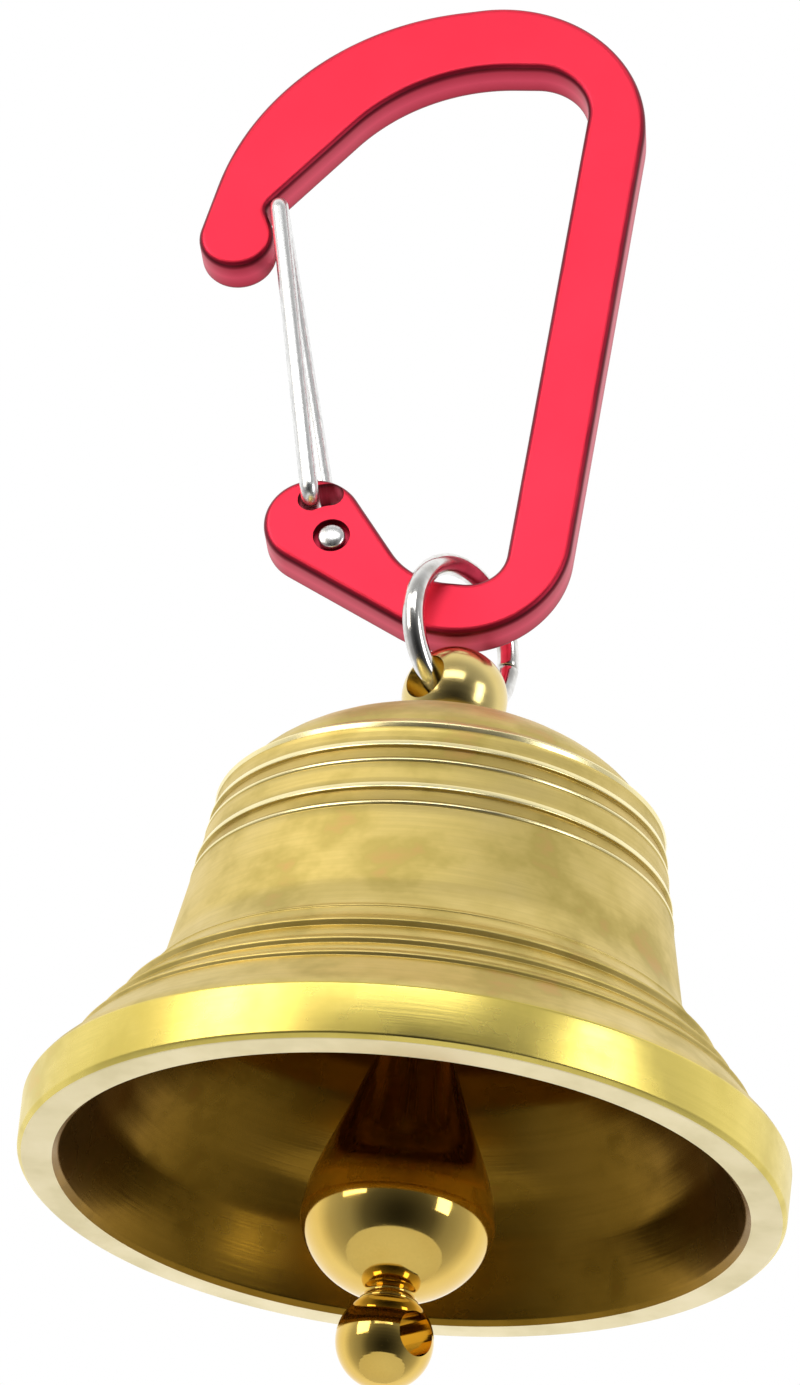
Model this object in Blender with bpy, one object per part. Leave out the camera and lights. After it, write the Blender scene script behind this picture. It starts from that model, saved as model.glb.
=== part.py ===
"""Small turned brass pendant bell, hung by a steel ring from a wire-gate carabiner.

The frame is in metres, +Z up.  The origin is the point inside the top of the carabiner where whatever
holds it up bears, and everything hangs plumb below it.  X runs from the gate to the spine, Y is the
carabiner's thickness.
"""
import math

import bmesh
import bpy
from mathutils import Matrix, Vector

MM = 0.001

# ---------------------------------------------------------------- driving dimensions, in millimetres
PLATE = 3.0                 # carabiner plate thickness
PLATE_EDGE = 0.5            # rounding of the plate's edges
SEAT = (0.0, -37.9)         # centre of the curve that the ring hangs in
SEAT_R = 2.5
FOOT = (-0.7, -36.9)        # centre of the foot's outer curve
FOOT_R = 7.3
NOTCH = (-15.1, -12.35)     # nose recess that holds the gate's loop
NOTCH_R = 0.9
PIVOT = (-8.87, -37.46)     # gate pivot hole in the boss
TAIL = (-10.5, -34.85)      # where the gate's front tail sits when the gate is shut
GATE_OPEN = 25.0            # how far the gate swings, degrees

# The outline of the carabiner as arcs joined by their common tangents: x, z, radius, and +1 where the
# outline bulges out or -1 where it curves in.  It runs clockwise as seen from the front, -Y.
CARABINER_ARCS = [
    (-17.8, -14.6, 2.5, 1),                 # round tip of the nose
    (-0.8, -14.1, 19.1, 1),                 # back of the nose
    (-1.2, -4.9, 10.0, 1),                  # top corner, above the spine
    (FOOT[0], FOOT[1], FOOT_R, 1),
    (-10.2, -36.4, 3.2, 1),                 # gate boss
    (-1.0, -35.6, 4.75, -1),                # inner side of the gate arm
    (SEAT[0], SEAT[1], SEAT_R, -1),
    (1.2, -3.6, 3.65, -1),                  # inner top corner
    (0.0, -13.6, 13.6, -1),                 # inner top, which reaches the origin
    (NOTCH[0], NOTCH[1], NOTCH_R, -1),
]

GATE_WIRE_R = 0.6
GATE_SIDE_GAP = 0.1         # between a leg of the gate and the plate
GATE_BEND_R = 0.7
TAIL_REACH = 1.3            # how far the front tail reaches into the plate
PIVOT_END = 0.3             # the pivot end stops this far inside the front face
PIVOT_PLAY = 0.08           # radial play of the gate's tail in its hole
TAIL_PLAY = 0.25            # half the spare width of the slot that the front tail moves in
HEAD_R = 0.9                # peened head on the pivot end
HEAD_SINK_R = 1.2
HEAD_SINK_DEPTH = 0.7
HEAD_CLEAR = 0.15           # between the head's back and the floor of its recess
HEAD_FLATTEN = 0.45         # height of the peened dome as a share of a ball's

RING_R = 4.8                # link ring, to the middle of its wire
RING_WIRE_R = 0.7
RING_TURN = 35.0            # the ring's plane, turned this far from the YZ plane, degrees
RING_SEAM = 0.2             # butt joint of the bent ring

KNOB_R = 3.35
KNOB_ABOVE_MOUTH = 33.9     # ball's centre above the plane of the bell's mouth
KNOB_BORE_R = 1.5
KNOB_BORE_UP = 0.2          # bore axis above the ball's centre
KNOB_NECK_R = 2.4
STUD_R = 1.7
STUD_EYE_R = 0.9
STUD_EYE_BELOW_NUT = 1.7
STUD_END_BELOW_EYE = 1.5

RIM_R = 23.0                # bell mouth, outside
MOUTH_R = 20.5              # bell mouth, inside
BAND_H = 3.4                # straight band round the rim
FLARE_H = 9.8               # height of the flare above the band
FLARE_OUT = 5.25            # how far the flare stands out from the waist's line
FLARE_POWER = 1.35
WAIST_LOW_R = 17.85         # the waist, at the top of the band
WAIST_HIGH_R = 13.85        # and under the shoulder
WAIST_POWER = 0.9           # how hollow the waist is
SHOULDER_Z = 25.0
SHOULDER_R = 13.2
CROWN_H = 6.5
CROWN_POWER = 1.55
CROWN_SEAT_R = 3.9          # flat on the crown that the knob stands on
WALL = 2.3
CROWN_WALL = 3.0
CROWN_ROUND = 2.6           # rounding between the crown's underside and the wall
MOUTH_EDGE = 0.35           # height of the mouth's inner edge
SPOT_FACE = 1.0             # flat under the crown beyond the washer

NUT_AF = 6.0                # across the flats
NUT_H = 2.2
WASHER_R = 3.9
WASHER_H = 0.6

LINK_R = 2.9                # clapper ring, to the middle of its wire
LINK_WIRE_R = 0.45

BOB_R = 5.85                # clapper bob
BOB_Z = -1.1                # its widest place, from the plane of the mouth
BOB_DROP = 5.2              # from there to its lower pole
BALL_R = 2.9                # pull ball under the bob
BALL_Z = -9.0
BALL_BORE_R = 1.35
BALL_BORE_TURN = 50.0       # bore direction, degrees from -Y towards +X
NECK_R = 1.5                # neck between the bob and the ball
COLLAR = 0.25               # how far its collar stands out
STEM_R = 1.35
STEM_BELOW_EYE = 1.9        # the eye's lug runs down over the stem's top
EYE_LUG = 2.3               # how far the lug reaches below the eye
EYE_R = 0.8                 # hole in the clapper's top eye
EYE_W = 1.75                # half width of the eye
EYE_T = 1.0                 # half thickness of the eye

FIT_GAP = 0.3               # between fixed pieces that meet
CONTACT_GAP = 0.1           # between a hanging piece and what it hangs on
RING_LIFT = 0.62            # lifts the link ring clear of the curved seat, with room to tip on its edges

ROUND_SIDES = 48
SMALL_SIDES = 32


# ---------------------------------------------------------------- where things hang
def ring_centre_z():
    """Height of the link ring's centre, with the ring hanging on the carabiner's inner edge."""
    half_flat = (PLATE / 2 - PLATE_EDGE) / math.cos(math.radians(RING_TURN))
    inner = RING_R - RING_WIRE_R
    across = half_flat * math.sin(math.radians(RING_TURN))
    rise = SEAT_R - math.sqrt(SEAT_R ** 2 - across ** 2)
    return SEAT[1] - SEAT_R + rise + RING_LIFT - math.sqrt(inner ** 2 - half_flat ** 2)


def knob_centre_z():
    """Height of the ball's centre, with its bore's roof resting on the ring at the two mouths."""
    inner = RING_R - RING_WIRE_R
    roof = KNOB_BORE_UP + KNOB_BORE_R
    half_bore = math.sqrt(KNOB_R ** 2 - roof ** 2)
    return ring_centre_z() - math.sqrt(inner ** 2 - half_bore ** 2) + CONTACT_GAP - roof


BAR_MIDDLE_Z = (SEAT[1] - SEAT_R + FOOT[1] - FOOT_R) / 2  # middle of the bar that the ring hangs on
RING_Z = ring_centre_z()
KNOB_Z = knob_centre_z()
MOUTH_Z = KNOB_Z - KNOB_ABOVE_MOUTH
CROWN_TOP = SHOULDER_Z + CROWN_H * (1 - (CROWN_SEAT_R / SHOULDER_R) ** CROWN_POWER) ** (1 / CROWN_POWER)
CROWN_UNDER = CROWN_TOP - CROWN_WALL
WASHER_TOP = CROWN_UNDER - FIT_GAP
NUT_TOP = WASHER_TOP - WASHER_H - FIT_GAP
STUD_EYE_Z = NUT_TOP - NUT_H - STUD_EYE_BELOW_NUT
STUD_END = STUD_EYE_Z - STUD_END_BELOW_EYE
LINK_INNER = LINK_R - LINK_WIRE_R
# The clapper ring hangs on the two ends of the stud's cross hole, and the clapper's eye hangs on the ring.
LINK_Z = STUD_EYE_Z - STUD_EYE_R + CONTACT_GAP - math.sqrt(LINK_INNER ** 2 - STUD_R ** 2)
EYE_Z = LINK_Z - math.sqrt(LINK_INNER ** 2 - EYE_T ** 2) + CONTACT_GAP - EYE_R


# ---------------------------------------------------------------- helpers
def clear_scene():
    for obj in list(bpy.data.objects):
        bpy.data.objects.remove(obj, do_unlink=True)


def material(name, colour, metallic, roughness):
    mat = bpy.data.materials.new(name)
    mat.use_nodes = True
    shader = mat.node_tree.nodes["Principled BSDF"]
    shader.inputs["Base Color"].default_value = (*colour, 1.0)
    shader.inputs["Metallic"].default_value = metallic
    shader.inputs["Roughness"].default_value = roughness
    mat.diffuse_color = (*colour, 1.0)
    return mat


def add_object(name, mesh, mat=None, parent=None, location=(0, 0, 0)):
    """Put a mesh in the scene; location is in millimetres, in the parent's space."""
    obj = bpy.data.objects.new(name, mesh)
    bpy.context.scene.collection.objects.link(obj)
    obj.location = Vector(location) * MM
    obj.parent = parent
    if mat is not None:
        mesh.materials.append(mat)
    return obj


def pivot_empty(name, location, parent=None):
    """An empty on a joint's axis, for the moving pieces to hang from."""
    empty = bpy.data.objects.new(name, None)
    empty.empty_display_size = 2 * MM
    bpy.context.scene.collection.objects.link(empty)
    empty.location = Vector(location) * MM
    empty.parent = parent
    return empty


def smooth(mesh, angle=35):
    mesh.shade_smooth()
    mesh.set_sharp_from_angle(angle=math.radians(angle))


def mesh_from(bm, name, sharp_angle=35):
    bmesh.ops.recalc_face_normals(bm, faces=bm.faces)
    mesh = bpy.data.meshes.new(name)
    bm.to_mesh(mesh)
    bm.free()
    smooth(mesh, sharp_angle)
    return mesh


def lathe(name, profile, sides, closed=False):
    """Turn a profile of (r, z) points, in millimetres, about Z.  An open one starts and ends on the axis."""
    bm = bmesh.new()
    verts = [bm.verts.new((r * MM, 0, z * MM)) for r, z in profile]
    edges = [bm.edges.new(pair) for pair in zip(verts, verts[1:])]
    if closed:
        edges.append(bm.edges.new((verts[-1], verts[0])))
    bmesh.ops.spin(bm, geom=verts + edges, cent=(0, 0, 0), axis=(0, 0, 1), angle=2 * math.pi,
                   steps=sides, use_merge=True)
    bmesh.ops.remove_doubles(bm, verts=bm.verts, dist=1e-7)
    return mesh_from(bm, name)


def cutter(name, mesh, matrix):
    """A hidden tool for a Boolean; its matrix is in millimetres, in the cut piece's own space."""
    tool = bpy.data.objects.new(name, mesh)
    bpy.context.scene.collection.objects.link(tool)
    tool.matrix_world = matrix
    tool.hide_render = True
    tool.display_type = 'WIRE'
    return tool


def cylinder_mesh(name, radius, length, sides=SMALL_SIDES):
    bm = bmesh.new()
    bmesh.ops.create_cone(bm, cap_ends=True, segments=sides, radius1=radius * MM, radius2=radius * MM,
                          depth=length * MM)
    return mesh_from(bm, name)


def boolean(obj, tool, operation='DIFFERENCE'):
    mod = obj.modifiers.new(tool.name, 'BOOLEAN')
    mod.operation = operation
    mod.solver = 'EXACT'
    mod.object = tool


def drill(obj, name, radius, length, at, along):
    """Cut a round hole through obj: at is in world millimetres, along is its direction."""
    turn = Vector((0, 0, 1)).rotation_difference(Vector(along)).to_matrix().to_4x4()
    place = Matrix.Translation(Vector(at) * MM) @ turn
    boolean(obj, cutter(name, cylinder_mesh(name, radius, length), place))


def arc_points(cx, cz, radius, start, end, steps):
    """Points from start to end, in degrees anticlockwise from +X, both ends included."""
    angles = [math.radians(start + (end - start) * i / steps) for i in range(steps + 1)]
    return [(cx + radius * math.cos(a), cz + radius * math.sin(a)) for a in angles]


# ---------------------------------------------------------------- carabiner
def tangent(first, second):
    """Where the outline leaves one arc and reaches the next, along their common tangent."""
    (ax, az, ar, a_side), (bx, bz, br, b_side) = first, second
    dx, dz = bx - ax, bz - az
    dist = math.hypot(dx, dz)
    offset = (b_side * br - a_side * ar) / dist
    along = math.sqrt(1 - offset ** 2)
    ux, uz = dx / dist, dz / dist
    run_x, run_z = along * ux - offset * uz, along * uz + offset * ux
    right_x, right_z = run_z, -run_x
    leave = (ax - a_side * ar * right_x, az - a_side * ar * right_z)
    reach = (bx - b_side * br * right_x, bz - b_side * br * right_z)
    return leave, reach


def belt_outline(arcs, step=0.55):
    """Points along a closed outline of arcs joined by tangents, at most about step millimetres apart."""
    joins = [tangent(arc, arcs[(i + 1) % len(arcs)]) for i, arc in enumerate(arcs)]
    points = []
    for i, (cx, cz, radius, side) in enumerate(arcs):
        start, end = joins[i - 1][1], joins[i][0]
        a0 = math.atan2(start[1] - cz, start[0] - cx)
        a1 = math.atan2(end[1] - cz, end[0] - cx)
        sweep = (a0 - a1) % (2 * math.pi) if side > 0 else (a1 - a0) % (2 * math.pi)
        steps = max(2, min(math.ceil(radius * sweep / step), math.ceil(sweep / math.radians(7.5))))
        for k in range(steps + 1):
            angle = a0 - side * sweep * k / steps
            point = (cx + radius * math.cos(angle), cz + radius * math.sin(angle))
            if not points or math.dist(points[-1], point) > step / 4:
                points.append(point)
    return points


def slot_outline():
    """The clearance slot for the front tail: an arc about the pivot, wide enough for the open gate."""
    dx, dz = TAIL[0] - PIVOT[0], TAIL[1] - PIVOT[1]
    reach = math.hypot(dx, dz)
    shut = math.degrees(math.atan2(dz, dx))
    half = GATE_WIRE_R + TAIL_PLAY
    far = shut - GATE_OPEN
    end = (PIVOT[0] + reach * math.cos(math.radians(far)), PIVOT[1] + reach * math.sin(math.radians(far)))
    points = arc_points(*PIVOT, reach + half, far, shut, 6)
    points += arc_points(*TAIL, half, shut, shut + 180, 12)[1:]
    points += arc_points(*PIVOT, reach - half, shut, far, 6)[1:]
    points += arc_points(*end, half, far - 180, far, 12)[1:-1]
    return points


def plate_mesh(name, outline, thickness, edge=0.0):
    """A flat plate in the XZ plane, centred on Y, with rounded edges."""
    bm = bmesh.new()
    verts = [bm.verts.new((x * MM, -thickness / 2 * MM, z * MM)) for x, z in outline]
    face = bm.faces.new(verts)
    grown = bmesh.ops.extrude_face_region(bm, geom=[face])
    moved = [item for item in grown["geom"] if isinstance(item, bmesh.types.BMVert)]
    bmesh.ops.translate(bm, verts=moved, vec=(0, thickness * MM, 0))
    bmesh.ops.recalc_face_normals(bm, faces=bm.faces)
    if edge:
        rims = [e for e in bm.edges if len(e.link_faces) == 2
                and {abs(round(f.normal.y)) for f in e.link_faces} == {0, 1}]
        bmesh.ops.bevel(bm, geom=rims, offset=edge * MM, segments=2, profile=0.5, affect='EDGES',
                        clamp_overlap=True)
    return mesh_from(bm, name, 40)


def build_carabiner(mats):
    mesh = plate_mesh("carabiner_body", belt_outline(CARABINER_ARCS), PLATE, PLATE_EDGE)
    body = add_object("carabiner_body", mesh, mats["red_anodised"])
    front = -PLATE / 2
    drill(body, "pivot_hole", GATE_WIRE_R + PIVOT_PLAY, PLATE * 2, (PIVOT[0], 0, PIVOT[1]), (0, 1, 0))
    drill(body, "head_recess", HEAD_SINK_R, HEAD_SINK_DEPTH * 2, (PIVOT[0], front, PIVOT[1]), (0, 1, 0))
    boolean(body, cutter("tail_slot", plate_mesh("tail_slot", slot_outline(), PLATE * 2), Matrix.Identity(4)))
    return body


# ---------------------------------------------------------------- wire gate
def rounded_path(corners, radius, steps=5):
    """A path through corners with each inner corner rounded by an arc; all in millimetres."""
    corners = [Vector(c) for c in corners]
    path = [corners[0]]
    for before, corner, after in zip(corners, corners[1:], corners[2:]):
        into = (corner - before).normalized()
        out = (after - corner).normalized()
        half_turn = into.angle(out) / 2
        back = radius * math.tan(half_turn)
        start = corner - into * back
        side = (out - into).normalized()
        centre = corner + side * (radius / math.cos(half_turn))
        axis = into.cross(out).normalized()
        for k in range(steps + 1):
            turn = Matrix.Rotation(2 * half_turn * k / steps, 3, axis)
            path.append(centre + turn @ (start - centre))
    path.append(corners[-1])
    return path


def wire_mesh(name, path, radius, origin, sides_quarter=2):
    """A round wire along a path, with flat ends, as a mesh whose origin is at the given point."""
    curve = bpy.data.curves.new(name + "_path", 'CURVE')
    curve.dimensions = '3D'
    curve.bevel_depth = radius * MM
    curve.bevel_resolution = sides_quarter
    curve.use_fill_caps = True
    spline = curve.splines.new('POLY')
    spline.points.add(len(path) - 1)
    for point, place in zip(spline.points, path):
        point.co = (*((place - Vector(origin)) * MM), 1.0)
    carrier = bpy.data.objects.new(name + "_path", curve)
    bpy.context.scene.collection.objects.link(carrier)
    mesh = bpy.data.meshes.new_from_object(carrier.evaluated_get(bpy.context.evaluated_depsgraph_get()))
    bpy.data.objects.remove(carrier, do_unlink=True)
    bm = bmesh.new()
    bm.from_mesh(mesh)
    bmesh.ops.remove_doubles(bm, verts=bm.verts, dist=1e-7)
    bpy.data.meshes.remove(mesh)
    return mesh_from(bm, name, 50)


def build_gate(mats):
    leg = PLATE / 2 + GATE_SIDE_GAP + GATE_WIRE_R
    front = -PLATE / 2
    pivot = (PIVOT[0], 0, PIVOT[1])
    corners = [
        (TAIL[0], front + TAIL_REACH, TAIL[1]),
        (TAIL[0], -leg, TAIL[1]),
        (NOTCH[0], -leg, NOTCH[1]),
        (NOTCH[0], leg, NOTCH[1]),
        (PIVOT[0], leg, PIVOT[1]),
        (PIVOT[0], front + PIVOT_END, PIVOT[1]),
    ]
    hinge = pivot_empty("gate_pivot", pivot)
    mesh = wire_mesh("wire_gate", rounded_path(corners, GATE_BEND_R), GATE_WIRE_R, pivot)
    gate = add_object("wire_gate", mesh, mats["gate_wire"], hinge)
    head_back = HEAD_CLEAR - HEAD_SINK_DEPTH
    dome = [(r, z * HEAD_FLATTEN) for r, z in arc_points(0, 0, HEAD_R, 16, 90, 5)]
    dome[-1] = (0, HEAD_R * HEAD_FLATTEN)
    head = [(0, head_back), (HEAD_R, head_back)] + dome
    head_mesh = lathe("pivot_head", list(reversed(head)), SMALL_SIDES)
    place = Matrix.Translation(Vector((PIVOT[0], front, PIVOT[1])) * MM) @ Matrix.Rotation(math.pi / 2, 4, 'X')
    boolean(gate, cutter("pivot_head", head_mesh, place), 'UNION')
    return gate


# ---------------------------------------------------------------- rings
def ring_mesh(name, ring_r, wire_r, around, across, turn):
    """A wire ring that stands upright: its plane holds Z and is turned from YZ about Z."""
    bm = bmesh.new()
    circle = bmesh.ops.create_circle(bm, segments=across, radius=wire_r * MM)["verts"]
    bmesh.ops.rotate(bm, verts=circle, matrix=Matrix.Rotation(math.pi / 2, 3, 'X'))
    bmesh.ops.translate(bm, verts=circle, vec=(ring_r * MM, 0, 0))
    edges = list(bm.edges)
    bmesh.ops.spin(bm, geom=circle + edges, cent=(0, 0, 0), axis=(0, 0, 1), angle=2 * math.pi,
                   steps=around, use_merge=True)
    bmesh.ops.remove_doubles(bm, verts=bm.verts, dist=1e-7)
    stand = Matrix.Rotation(math.radians(turn), 3, 'Z') @ Matrix.Rotation(math.pi / 2, 3, 'Y')
    bmesh.ops.rotate(bm, verts=bm.verts, matrix=stand)
    return mesh_from(bm, name)


def build_link_ring(mats):
    hinge = pivot_empty("ring_pivot", (0, 0, BAR_MIDDLE_Z))
    mesh = ring_mesh("link_ring", RING_R, RING_WIRE_R, 40, 12, -RING_TURN)
    ring = add_object("link_ring", mesh, mats["ring_steel"], hinge, (0, 0, RING_Z - BAR_MIDDLE_Z))
    bm = bmesh.new()
    bmesh.ops.create_cube(bm, size=1.0)
    bmesh.ops.scale(bm, verts=bm.verts, vec=(3 * MM, 3 * MM, RING_SEAM * MM))
    turn = Matrix.Rotation(math.radians(-RING_TURN), 4, 'Z')
    place = Matrix.Translation((0, 0, RING_Z * MM)) @ turn @ Matrix.Translation((0, RING_R * MM, 0))
    boolean(ring, cutter("ring_seam", mesh_from(bm, "ring_seam"), place))
    return hinge


# ---------------------------------------------------------------- bell
def outer_radius(z):
    """Outside of the bell above the rim band, without its beads: a sloping waist and a flare."""
    t = (z - BAND_H) / (SHOULDER_Z - BAND_H)
    waist = WAIST_LOW_R + (WAIST_HIGH_R - WAIST_LOW_R) * t ** WAIST_POWER
    lift = max(0.0, 1 - (z - BAND_H) / FLARE_H)
    return waist + FLARE_OUT * lift ** FLARE_POWER


def bead(z, height, proud):
    """A raised flat-topped bead round the waist."""
    base = outer_radius(z)
    return [(outer_radius(z - height / 2), z - height / 2), (base + proud, z - height / 5),
            (base + proud, z + height / 5), (outer_radius(z + height / 2), z + height / 2)]


def groove(z, height, deep):
    """A V groove round the waist."""
    return [(outer_radius(z - height / 2), z - height / 2), (outer_radius(z) - deep, z),
            (outer_radius(z + height / 2), z + height / 2)]


def crown(radius, rise, inset=0.0):
    """Height of the domed crown over a radius."""
    return SHOULDER_Z - inset + rise * (1 - (radius / (SHOULDER_R - inset)) ** CROWN_POWER) ** (1 / CROWN_POWER)


def bell_profile():
    """Closed section of the shell, from the rim up the outside, over the crown and down the inside."""
    points = [(MOUTH_R + 0.3, 0.0), (RIM_R - 0.4, 0.0), (RIM_R, 0.4), (RIM_R + 0.1, BAND_H - 0.2)]
    points += [(RIM_R - 0.15, BAND_H + 0.1), (outer_radius(BAND_H + 0.5), BAND_H + 0.5)]
    points += [(outer_radius(5.0), 5.0)]
    points += bead(6.6, 0.9, 0.15) + bead(8.0, 0.9, 0.15) + bead(9.9, 1.2, 0.25)
    points += [(outer_radius(z), z) for z in (11.6, 13.2, 16.5)]
    points += groove(20.1, 0.5, 0.25) + bead(21.4, 1.0, 0.12) + groove(22.9, 0.5, 0.25)
    points += [(WAIST_HIGH_R, SHOULDER_Z - 0.9), (WAIST_HIGH_R, SHOULDER_Z - 0.2)]
    points += [(SHOULDER_R * k, crown(SHOULDER_R * k, CROWN_H)) for k in (0.985, 0.93, 0.82, 0.68, 0.5, 0.38)]
    points += [(CROWN_SEAT_R, CROWN_TOP), (STUD_R + FIT_GAP, CROWN_TOP)]
    points += [(STUD_R + FIT_GAP, CROWN_UNDER), (WASHER_R + SPOT_FACE, CROWN_UNDER)]
    inner_top = CROWN_UNDER - CROWN_ROUND
    points += arc_points(WASHER_R + SPOT_FACE, inner_top, CROWN_ROUND, 90, 60, 1)[1:]
    points += [(9.4, inner_top - 0.9), (11.0, inner_top - 4.0)]
    points += [(outer_radius(z) - WALL, z) for z in (18.5, 15.0, 12.0, 9.5, 7.0, 5.0)]
    points += [(MOUTH_R - 0.5, 2.4), (MOUTH_R, MOUTH_EDGE)]
    return points


def knob_profile():
    """Ball, neck and stud, with the ball's centre at the origin."""
    seat = CROWN_TOP + FIT_GAP - KNOB_ABOVE_MOUTH
    neck_meet = -math.degrees(math.acos(KNOB_NECK_R / KNOB_R))
    points = arc_points(0, 0, KNOB_R, 90, neck_meet, 16)
    points[0] = (0, KNOB_R)
    points += [(KNOB_NECK_R, seat), (STUD_R, seat)]
    end = STUD_END - KNOB_ABOVE_MOUTH
    points += [(STUD_R, end + 0.3), (STUD_R - 0.3, end), (0, end)]
    return points


def hex_nut_mesh(name):
    bm = bmesh.new()
    radius = NUT_AF / 2 / math.cos(math.pi / 6)
    bmesh.ops.create_cone(bm, cap_ends=True, segments=6, radius1=radius * MM, radius2=radius * MM,
                          depth=NUT_H * MM)
    rims = [e for e in bm.edges if abs(e.verts[0].co.z - e.verts[1].co.z) < 1e-7]
    bmesh.ops.bevel(bm, geom=rims, offset=0.25 * MM, segments=1, profile=0.5, affect='EDGES')
    return mesh_from(bm, name)


def build_bell(mats, ring_pivot):
    bore_z = KNOB_Z + KNOB_BORE_UP
    hinge = pivot_empty("bell_pivot", (0, 0, bore_z - BAR_MIDDLE_Z), ring_pivot)
    to_mouth = MOUTH_Z - bore_z
    add_object("bell_shell", lathe("bell_shell", bell_profile(), ROUND_SIDES, closed=True),
               mats["bell_brass"], hinge, (0, 0, to_mouth))
    knob = add_object("crown_knob", lathe("crown_knob", knob_profile(), ROUND_SIDES // 2),
                      mats["knob_brass"], hinge, (0, 0, to_mouth + KNOB_ABOVE_MOUTH))
    turn = math.radians(RING_TURN)
    bore_along = (math.sin(turn), math.cos(turn), 0)
    drill(knob, "knob_bore", KNOB_BORE_R, KNOB_R * 3, (0, 0, bore_z), bore_along)
    drill(knob, "stud_eye", STUD_EYE_R, STUD_R * 4, (0, 0, MOUTH_Z + STUD_EYE_Z), (0, 1, 0))
    bore = STUD_R + CONTACT_GAP
    ring = [(bore, 0), (WASHER_R, 0), (WASHER_R, WASHER_H), (bore, WASHER_H)]
    add_object("crown_washer", lathe("crown_washer", ring, SMALL_SIDES, closed=True), mats["nut_brass"],
               hinge, (0, 0, to_mouth + WASHER_TOP - WASHER_H))
    nut = add_object("crown_nut", hex_nut_mesh("crown_nut"), mats["nut_brass"], hinge,
                     (0, 0, to_mouth + NUT_TOP - NUT_H / 2))
    drill(nut, "nut_bore", bore, NUT_H * 2, (0, 0, MOUTH_Z + NUT_TOP - NUT_H / 2), (0, 0, 1))
    return hinge, to_mouth


# ---------------------------------------------------------------- clapper
def clapper_profile():
    """Turned body below the eye, measured from the plane of the mouth."""
    stem_top = EYE_Z - STEM_BELOW_EYE
    points = [(0, stem_top), (STEM_R - 0.2, stem_top), (STEM_R, stem_top - 0.2)]
    points += [(STEM_R, 14.0), (1.65, 11.8), (2.6, 8.4), (3.75, 5.2), (4.85, 2.5), (5.6, 0.5)]
    points += [(BOB_R * math.cos(a), BOB_Z + BOB_DROP * math.sin(a))
               for a in (math.radians(k) for k in range(0, -73, -8))]
    points += [(NECK_R, BOB_Z - BOB_DROP * 0.965), (NECK_R + COLLAR, -6.5), (NECK_R + COLLAR, -6.75)]
    points += [(NECK_R, -6.9)]
    ball = arc_points(0, BALL_Z, BALL_R, 56, -90, 14)
    ball[-1] = (0, BALL_Z - BALL_R)
    return points + ball


def eye_mesh(name):
    """Flat rounded lug on top of the stem, standing in the YZ plane across the clapper ring."""
    bm = bmesh.new()
    outline = arc_points(0, 0, EYE_W, -50, 230, 20)
    outline += [(-STEM_R * 0.8, -EYE_LUG), (STEM_R * 0.8, -EYE_LUG)]
    verts = [bm.verts.new((x * MM, -EYE_T * MM, z * MM)) for x, z in outline]
    face = bm.faces.new(verts)
    grown = bmesh.ops.extrude_face_region(bm, geom=[face])
    moved = [item for item in grown["geom"] if isinstance(item, bmesh.types.BMVert)]
    bmesh.ops.translate(bm, verts=moved, vec=(0, 2 * EYE_T * MM, 0))
    return mesh_from(bm, name)


def build_clapper(mats, bell_pivot, to_mouth):
    link_pivot = pivot_empty("clapper_ring_pivot", (0, 0, to_mouth + STUD_EYE_Z), bell_pivot)
    mesh = ring_mesh("clapper_ring", LINK_R, LINK_WIRE_R, 28, 8, 0)
    add_object("clapper_ring", mesh, mats["ring_steel"], link_pivot, (0, 0, LINK_Z - STUD_EYE_Z))
    clapper_pivot = pivot_empty("clapper_pivot", (0, 0, LINK_Z - STUD_EYE_Z), link_pivot)
    body = add_object("clapper", lathe("clapper", clapper_profile(), SMALL_SIDES), mats["clapper_brass"],
                      clapper_pivot, (0, 0, -LINK_Z))
    eye_place = Matrix.Translation((0, 0, (MOUTH_Z + EYE_Z) * MM))
    boolean(body, cutter("clapper_eye", eye_mesh("clapper_eye"), eye_place), 'UNION')
    drill(body, "clapper_eye_hole", EYE_R, EYE_T * 4, (0, 0, MOUTH_Z + EYE_Z), (0, 1, 0))
    turn = math.radians(BALL_BORE_TURN)
    bore_along = (math.sin(turn), -math.cos(turn), 0)
    drill(body, "ball_bore", BALL_BORE_R, BALL_R * 3, (0, 0, MOUTH_Z + BALL_Z), bore_along)


def build_materials():
    return {
        "red_anodised": material("red_anodised", (0.80, 0.045, 0.085), 0.85, 0.38),
        "gate_wire": material("gate_wire", (0.66, 0.66, 0.64), 1.0, 0.28),
        "ring_steel": material("ring_steel", (0.80, 0.80, 0.80), 1.0, 0.16),
        "bell_brass": material("bell_brass", (0.70, 0.56, 0.22), 1.0, 0.36),
        "knob_brass": material("knob_brass", (0.73, 0.58, 0.25), 1.0, 0.22),
        "nut_brass": material("nut_brass", (0.66, 0.50, 0.20), 1.0, 0.35),
        "clapper_brass": material("clapper_brass", (0.78, 0.60, 0.22), 1.0, 0.08),
    }


def main():
    clear_scene()
    mats = build_materials()
    build_carabiner(mats)
    build_gate(mats)
    ring_pivot = build_link_ring(mats)
    bell_pivot, to_mouth = build_bell(mats, ring_pivot)
    build_clapper(mats, bell_pivot, to_mouth)
    bpy.context.view_layer.update()


main()
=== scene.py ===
import math

import bmesh
import bpy
from bpy.props import FloatProperty, FloatVectorProperty, PointerProperty
from mathutils import Matrix, Vector


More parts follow.
